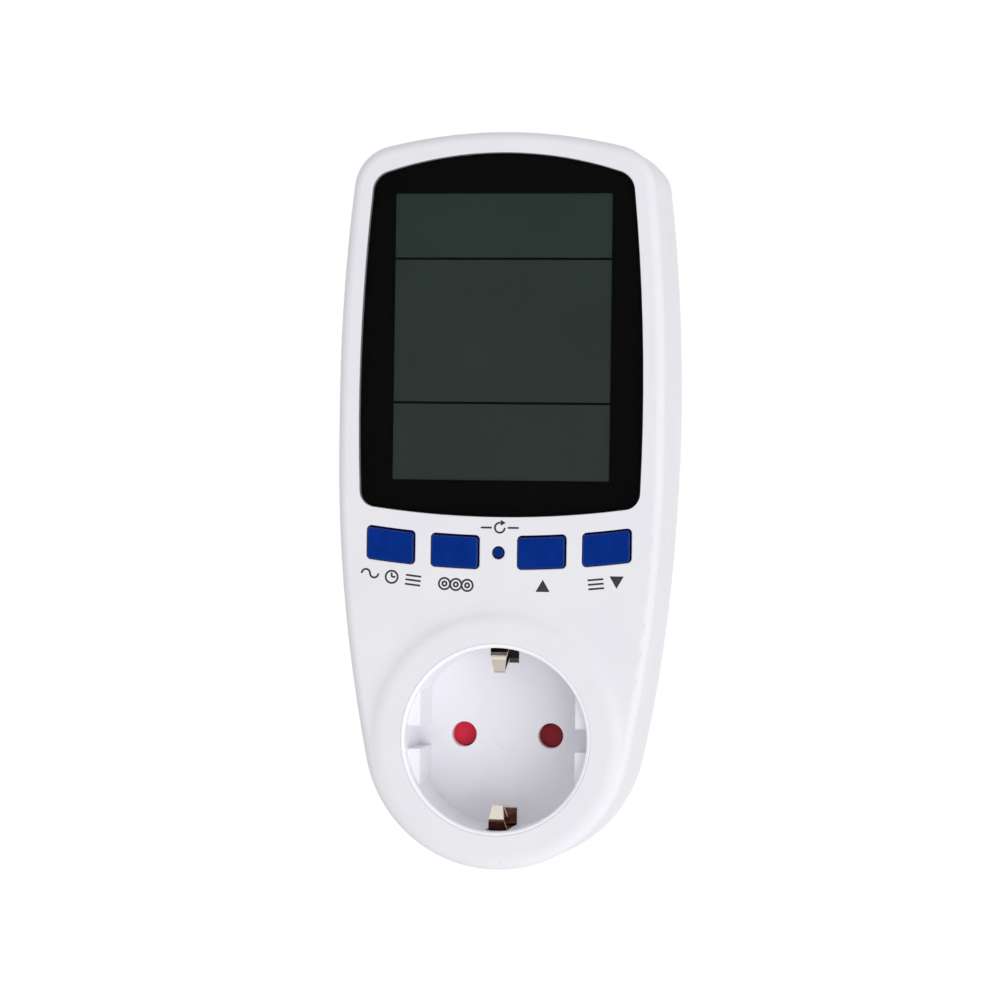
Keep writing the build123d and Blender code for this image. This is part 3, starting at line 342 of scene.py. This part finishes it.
def solder_mask():
    """Glass epoxy board under green solder mask, with thin copper lines that show through it."""
    material = new_material("solder_mask_green", Roughness=0.35)
    tracks = add(material, "TexBrick", {"Vector": add(material, "TexCoord").outputs["Object"],
                                        "Scale": 0.4 / MM, "Mortar Size": 0.02,
                                        "Color1": linear("1E5E38"), "Color2": linear("1A5532"),
                                        "Mortar": linear("2F7A49")})
    drive(material, "Base Color", tracks.outputs["Color"])
    grain(material, size=0.4, depth=0.01)
    return material


def conductive_silicone():
    """Grey silicone with carbon layers. The real ones are 0.1 mm apart; here it is 4 mm."""
    material = new_material("silicone_layered", Roughness=0.6)
    wave = add(material, "TexWave", {"Vector": add(material, "TexCoord").outputs["Object"],
                                     "Scale": WAVE_LENGTH / (4.0 * MM)}, bands_direction="X")
    two_tone(material, "6B6B6E", "2A2A2C", wave.outputs["Fac"])
    return material


def ribbon_vinyl():
    """Grey flat cable with grooves between its wires. The real ones are 1.27 mm apart; here it is 12.7 mm."""
    material = new_material("vinyl_ribbon_grey", Roughness=0.45)
    wave = add(material, "TexWave", {"Vector": add(material, "TexCoord").outputs["Object"],
                                     "Scale": WAVE_LENGTH / (12.7 * MM)}, bands_direction="X")
    two_tone(material, "A9ABAE", "8C8F93", wave.outputs["Fac"])
    bump = add(material, "Bump", {"Height": wave.outputs["Fac"], "Distance": 0.2 * MM})
    drive(material, "Normal", bump.outputs["Normal"])
    return material


def label_film():
    """Blank polyester film: cool white, smooth, with a thin printed frame line."""
    material = new_material("polyester_film", Roughness=0.3)
    outer, inner = [
        add(material, "Math", {0: within(material, "X", 0, FILM_WIDTH / 2 - margin),
                               1: within(material, "Z", FILM_MIDDLE, FILM_HEIGHT / 2 - margin)},
            operation="MULTIPLY")
        for margin in (FILM_LINE_MARGIN, FILM_LINE_MARGIN + FILM_LINE_WIDTH)]
    line = add(material, "Math", {0: outer.outputs[0], 1: inner.outputs[0]}, operation="SUBTRACT")
    two_tone(material, "D9DADD", "9A9CA1", line.outputs[0])
    grain(material, size=0.8, depth=0.004)
    return material


def dress(piece, material):
    """Gives a piece one material."""
    piece.data.materials.clear()
    piece.data.materials.append(material)


for material, dressed in (
    (abs_white_satin, ["front_shell", "back_shell"]),
    (polycarbonate_white, ["socket_cup", "plug_body"]),
    (window_acrylic(), ["display_window"]),
    (liquid_crystal_glass(), ["lcd_panel"]),
    (acetal_natural, ["lcd_holder", "contact_carrier"]),
    (conductive_silicone(), ["zebra_strips"]),
    (solder_mask(), ["display_board", "main_board"]),
    (key_plastic(), ["function_key", "cost_key", "up_key", "down_key", "reset_key"]),
    (phenolic_black, ["function_plunger", "cost_plunger", "up_plunger", "down_plunger", "reset_plunger",
                      "key_switches", "display_chip", "meter_chip", "rectifier_diodes",
                      "smoothing_capacitor"]),
    (shutter_plastic(), ["shutter"]),
    (nickel_plate, ["plug_earth_strap", "plug_pin_left", "plug_pin_right", "earth_pin_sleeve",
                    "clock_crystal", "earth_rivet"]),
    (earth_clip_metal(), ["earth_strap"]),
    (brass_rolled, ["live_contact", "neutral_contact", "live_busbar", "neutral_busbar"]),
    (resistance_alloy, ["shunt_resistor"]),
    (steel_zinc, ["case_screws", "display_screws", "board_screws", "carrier_screws", "plug_screws",
                  "shutter_spring"]),
    (epoxy_yellow, ["dropper_capacitor"]),
    (epoxy_blue_dip, ["varistor"]),
    (shrink_sleeve_green, ["backup_battery"]),
    (pvc_red, ["live_lead"]),
    (pvc_blue, ["neutral_lead"]),
    (ribbon_vinyl(), ["ribbon_cable"]),
):
    for name in dressed:
        dress(nodes[name], material)

ink_black = screen_ink("ink_black_mask", "030303", "060505")
ink_grey = screen_ink("ink_dark_grey", "3B3437", "45403F")


def settle(piece, name, material, body):
    """Puts a piece's place into its mesh, names it, dresses it and lets it ride on a body."""
    bpy.ops.object.select_all(action="DESELECT")
    piece.select_set(True)
    bpy.context.view_layer.objects.active = piece
    bpy.ops.object.transform_apply(location=True, rotation=True, scale=True)
    piece.name = name
    piece.data.name = name
    dress(piece, material)
    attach(piece, body)


def select_faces(piece, wanted):
    """Selects the faces for which wanted is true, and stays in edit mode."""
    bpy.ops.object.mode_set(mode="EDIT")
    bpy.ops.mesh.select_mode(type="FACE")
    bpy.ops.mesh.select_all(action="DESELECT")
    bpy.ops.object.mode_set(mode="OBJECT")
    for face in piece.data.polygons:
        face.select = wanted(face)
    bpy.ops.object.mode_set(mode="EDIT")


def window_print():
    """The black frame printed on the back of the window, with the display's opening left clear."""
    bpy.ops.object.select_all(action="DESELECT")
    piece = bpy.data.objects.new("window_print", nodes["display_window"].data.copy())
    bpy.context.scene.collection.objects.link(piece)
    bpy.context.view_layer.objects.active = piece
    piece.select_set(True)
    bpy.ops.object.mode_set(mode="EDIT")
    bpy.ops.mesh.select_all(action="SELECT")
    bpy.ops.mesh.remove_doubles(threshold=0.001 * MM)
    # Only the back face of the lens is kept
    select_faces(piece, lambda face: face.normal.y < 0.9)
    bpy.ops.mesh.delete(type="FACE")
    cuts = [((side * MM, 0, 0), (1, 0, 0)) for side in (-DISPLAY_HALF_WIDTH, DISPLAY_HALF_WIDTH)]
    cuts += [((0, 0, end * MM), (0, 0, 1)) for end in (DISPLAY_FOOT, DISPLAY_TOP)]
    for point, normal in cuts:
        bpy.ops.mesh.select_all(action="SELECT")
        bpy.ops.mesh.bisect(plane_co=point, plane_no=normal)
    select_faces(piece, lambda face: abs(face.center.x) < DISPLAY_HALF_WIDTH * MM
                 and DISPLAY_FOOT * MM < face.center.z < DISPLAY_TOP * MM)
    bpy.ops.mesh.delete(type="FACE")
    bpy.ops.mesh.select_all(action="SELECT")
    bpy.ops.transform.translate(value=(0, -WINDOW_PRINT_DEPTH * MM, 0))
    bpy.ops.object.mode_set(mode="OBJECT")
    bpy.ops.mesh.customdata_custom_splitnormals_clear()
    solid = piece.modifiers.new("Solidify", "SOLIDIFY")
    solid.thickness, solid.offset = WINDOW_PRINT_THICKNESS * MM, -1
    bpy.ops.object.modifier_apply(modifier=solid.name)
    settle(piece, "window_print", ink_black, "housing")


def flatten(piece):
    """Squashes a stroke until it is as thin as a coat of ink, half of it above the surface."""
    bpy.ops.object.transform_apply(location=False, rotation=True, scale=True)
    piece.scale.y = INK_THICKNESS / INK_STROKE
    bpy.ops.object.transform_apply(location=False, rotation=False, scale=True)
    return piece


def ring_stroke(x, z, radius, keep=lambda centre: True):
    """A printed ring. keep says which parts stay, by their place in millimetres from its middle."""
    bpy.ops.object.select_all(action="DESELECT")
    bpy.ops.mesh.primitive_torus_add(
        location=(x * MM, FRONT_Y * MM, z * MM), rotation=(pi / 2, 0, 0),
        major_segments=48, minor_segments=8, major_radius=radius * MM, minor_radius=INK_STROKE / 2 * MM)
    piece = flatten(bpy.context.object)
    select_faces(piece, lambda face: not keep(face.center / MM))
    bpy.ops.mesh.delete(type="FACE")
    bpy.ops.mesh.select_mode(type="EDGE")
    bpy.ops.mesh.select_all(action="SELECT")
    bpy.ops.mesh.fill_holes(sides=8)
    bpy.ops.object.mode_set(mode="OBJECT")
    return piece


def bar_stroke(x, z, length, turn=0):
    """A printed level bar with rounded ends, turned clockwise as seen from the front."""
    bpy.ops.object.select_all(action="DESELECT")
    bpy.ops.mesh.primitive_cylinder_add(
        location=(x * MM, FRONT_Y * MM, z * MM), rotation=(0, pi / 2 + turn, 0), vertices=12,
        radius=INK_STROKE / 2 * MM, depth=length * MM)
    piece = bpy.context.object
    select_faces(piece, lambda face: abs(face.normal.z) > 0.9)
    bpy.ops.mesh.bevel(offset=BAR_END_ROUNDING * MM, segments=3)
    bpy.ops.object.mode_set(mode="OBJECT")
    return flatten(piece)


def list_strokes(x, z, step, turn):
    """Three printed bars, one below the other, each a step to the right of the one above it."""
    return [bar_stroke(x + row * step, z - row * LIST_BAR_SPACING, LIST_BAR_LENGTH, turn)
            for row in range(3)]


def arrow_stroke(x, z, radius, turn=0):
    """A printed triangle whose tip points up, turned clockwise as seen from the front."""
    bpy.ops.object.select_all(action="DESELECT")
    bpy.ops.mesh.primitive_cylinder_add(
        location=(x * MM, FRONT_Y * MM, z * MM), rotation=(pi / 2, turn, 0), vertices=3,
        radius=radius * MM, depth=INK_THICKNESS * MM)
    piece = bpy.context.object
    bevel = piece.modifiers.new("Bevel", "BEVEL")
    bevel.width, bevel.segments, bevel.limit_method = ARROW_CORNER_ROUNDING * MM, 3, "ANGLE"
    # Of the triangle's edges only its three corners are sharper than this
    bevel.angle_limit = radians(100)
    bpy.ops.object.modifier_apply(modifier=bevel.name)
    bpy.ops.object.transform_apply(location=False, rotation=True, scale=True)
    return piece


def printed_mark(name, strokes):
    """Joins strokes into one printed mark on the front."""
    bpy.ops.object.select_all(action="DESELECT")
    for stroke in strokes:
        stroke.select_set(True)
    bpy.context.view_layer.objects.active = strokes[0]
    bpy.ops.object.join()
    settle(strokes[0], name, ink_grey, "housing")


def rating_film():
    """A blank film in the recess on the back."""
    bpy.ops.object.select_all(action="DESELECT")
    bpy.ops.mesh.primitive_plane_add(
        size=1, location=(0, FILM_FLOOR_Y * MM, FILM_MIDDLE * MM), rotation=(-pi / 2, 0, 0))
    piece = bpy.context.object
    piece.scale = (FILM_WIDTH * MM, FILM_HEIGHT * MM, 1)
    bpy.ops.object.transform_apply(location=False, rotation=True, scale=True)
    bpy.ops.object.mode_set(mode="EDIT")
    bpy.ops.mesh.select_all(action="SELECT")
    bpy.ops.mesh.bevel(offset=FILM_CORNER * MM, segments=6, affect="VERTICES")
    bpy.ops.mesh.extrude_region_move(TRANSFORM_OT_translate={"value": (0, FILM_THICKNESS * MM, 0)})
    bpy.ops.mesh.select_all(action="SELECT")
    bpy.ops.mesh.normals_make_consistent(inside=False)
    bpy.ops.object.mode_set(mode="OBJECT")
    settle(piece, "rating_film", label_film(), "housing")


window_print()

# Function key: a wave, a clock with two hands and a list
printed_mark("mark_function", [
    ring_stroke(-28.5, 34.9, radius=0.9, keep=lambda centre: centre.z > 0),
    ring_stroke(-26.7, 34.9, radius=0.9, keep=lambda centre: centre.z < 0),
    ring_stroke(-22.9, 34.2, radius=1.3),
    bar_stroke(-22.9, 34.65, length=1.0, turn=pi / 2),
    bar_stroke(-22.5, 34.2, length=0.85),
    *list_strokes(-18.15, 34.5, step=-0.1, turn=radians(6.5)),
])

# Cost key: three coins
printed_mark("mark_cost", [
    ring_stroke(x, z, radius)
    for x, z in ((-11.45, 32.95), (-9.0, 32.8), (-6.55, 32.65)) for radius in (1.2, 0.45)])

# Up and down keys: an arrow up, and a list with an arrow down
printed_mark("mark_up", [arrow_stroke(9.66, 32.4, radius=1.75)])
printed_mark("mark_down", [
    *list_strokes(20.9, 34.3, step=0.1, turn=radians(-5.5)),
    arrow_stroke(25.4, 34.2, radius=1.75, turn=pi),
])

# Reset key: a turning arrow between two bars
printed_mark("mark_reset", [
    ring_stroke(0.3, 45.0, radius=1.05, keep=lambda centre: centre.x < 0.15 or centre.z < 0),
    arrow_stroke(0.85, 46.05, radius=0.75, turn=pi / 2),
    bar_stroke(-2.6, 45.0, length=2.4),
    bar_stroke(3.2, 45.0, length=2.4),
])
rating_film()

# Camera: a long lens, a little to the object's right
bpy.ops.object.camera_add(location=CAMERA_PLACE, rotation=[radians(turn) for turn in CAMERA_TURN])
camera = bpy.context.object
camera.data.lens, camera.data.sensor_width = CAMERA_LENS, CAMERA_SENSOR
camera.data.clip_start, camera.data.clip_end = 0.01, 20
bpy.context.scene.camera = camera

# One large soft lamp, low on the right of the camera
bpy.ops.object.light_add(type="AREA", location=LAMP_PLACE)
lamp = bpy.context.object
lamp.name = "lamp_low_right"
lamp.data.size, lamp.data.energy = LAMP_SIZE, LAMP_POWER
lamp.rotation_euler = (Vector(LAMP_AIM) - Vector(LAMP_PLACE)).to_track_quat("-Z", "Y").to_euler()

# Studio: white surroundings for the eye, for metal and for glass, and a softer white as light
world = bpy.data.worlds.new("studio_white")
bpy.context.scene.world = world
world.use_nodes = True
rays = add(world, "LightPath")
seen = rays.outputs["Is Camera Ray"]
for ray in ("Is Glossy Ray", "Is Transmission Ray"):
    seen = add(world, "Math", {0: seen, 1: rays.outputs[ray]}, operation="MAXIMUM").outputs[0]
level = add(world, "MapRange", {"Value": seen, "To Min": SURROUNDINGS_AS_LIGHT})
background = world.node_tree.nodes["Background"]
background.inputs["Color"].default_value = (1, 1, 1, 1)
world.node_tree.links.new(level.outputs["Result"], background.inputs["Strength"])


def studio_floor():
    """A pale floor far below the part, which hangs free on its plug."""
    material = new_material("floor_paper", Roughness=0.8, Emission_Color=(1, 1, 1, 1))
    two_tone(material, "FAFAFA", "F6F6F6", blotches(material, size=200.0, low=0.0, high=1.0))
    seen_floor = add(material, "LightPath").outputs["Is Camera Ray"]
    glow = add(material, "Math", {0: seen_floor, 1: FLOOR_GLOW}, operation="MULTIPLY")
    drive(material, "Emission Strength", glow.outputs[0])
    bpy.ops.object.select_all(action="DESELECT")
    bpy.ops.mesh.primitive_plane_add(size=FLOOR_SIZE, location=(0, 0, FLOOR_HEIGHT))
    floor = bpy.context.object
    floor.name = "studio_floor"
    dress(floor, material)


studio_floor()
bpy.context.scene.view_settings.view_transform = "Standard"
